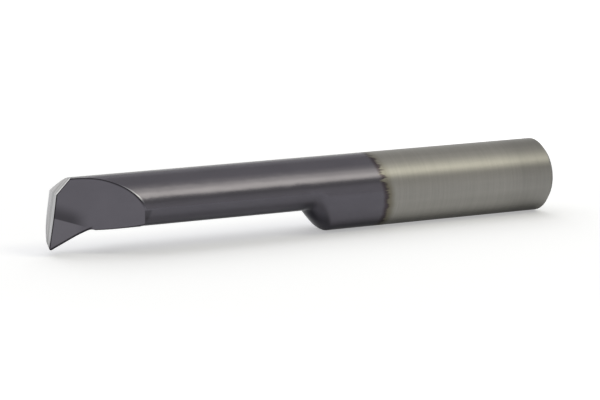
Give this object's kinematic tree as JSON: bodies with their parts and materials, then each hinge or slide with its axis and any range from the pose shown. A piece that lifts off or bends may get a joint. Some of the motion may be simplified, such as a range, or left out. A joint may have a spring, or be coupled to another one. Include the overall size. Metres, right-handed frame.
{
  "type": "boring bar",
  "caption": "Solid carbide boring bar: round shank, half-relieved coated neck and a ground cutting point with a ramped rake face and a chamfered front corner.",
  "frame": {"origin": "centre of the shank's flat rear end face, on the tool's axis", "axes": "+X along the tool's axis from the cutting end to the rear end, -Y out of the rake face, -Z towards the cutting point"},
  "size_m": [0.0444, 0.006, 0.006],
  "materials": {
    "coated_carbide": "ground cemented carbide, dark grey-violet hard coating on the neck and head, bare bright grey shank"
  },
  "bodies": {
    "root": {"boring_bar": "coated_carbide"}
  },
  "joints": []
}
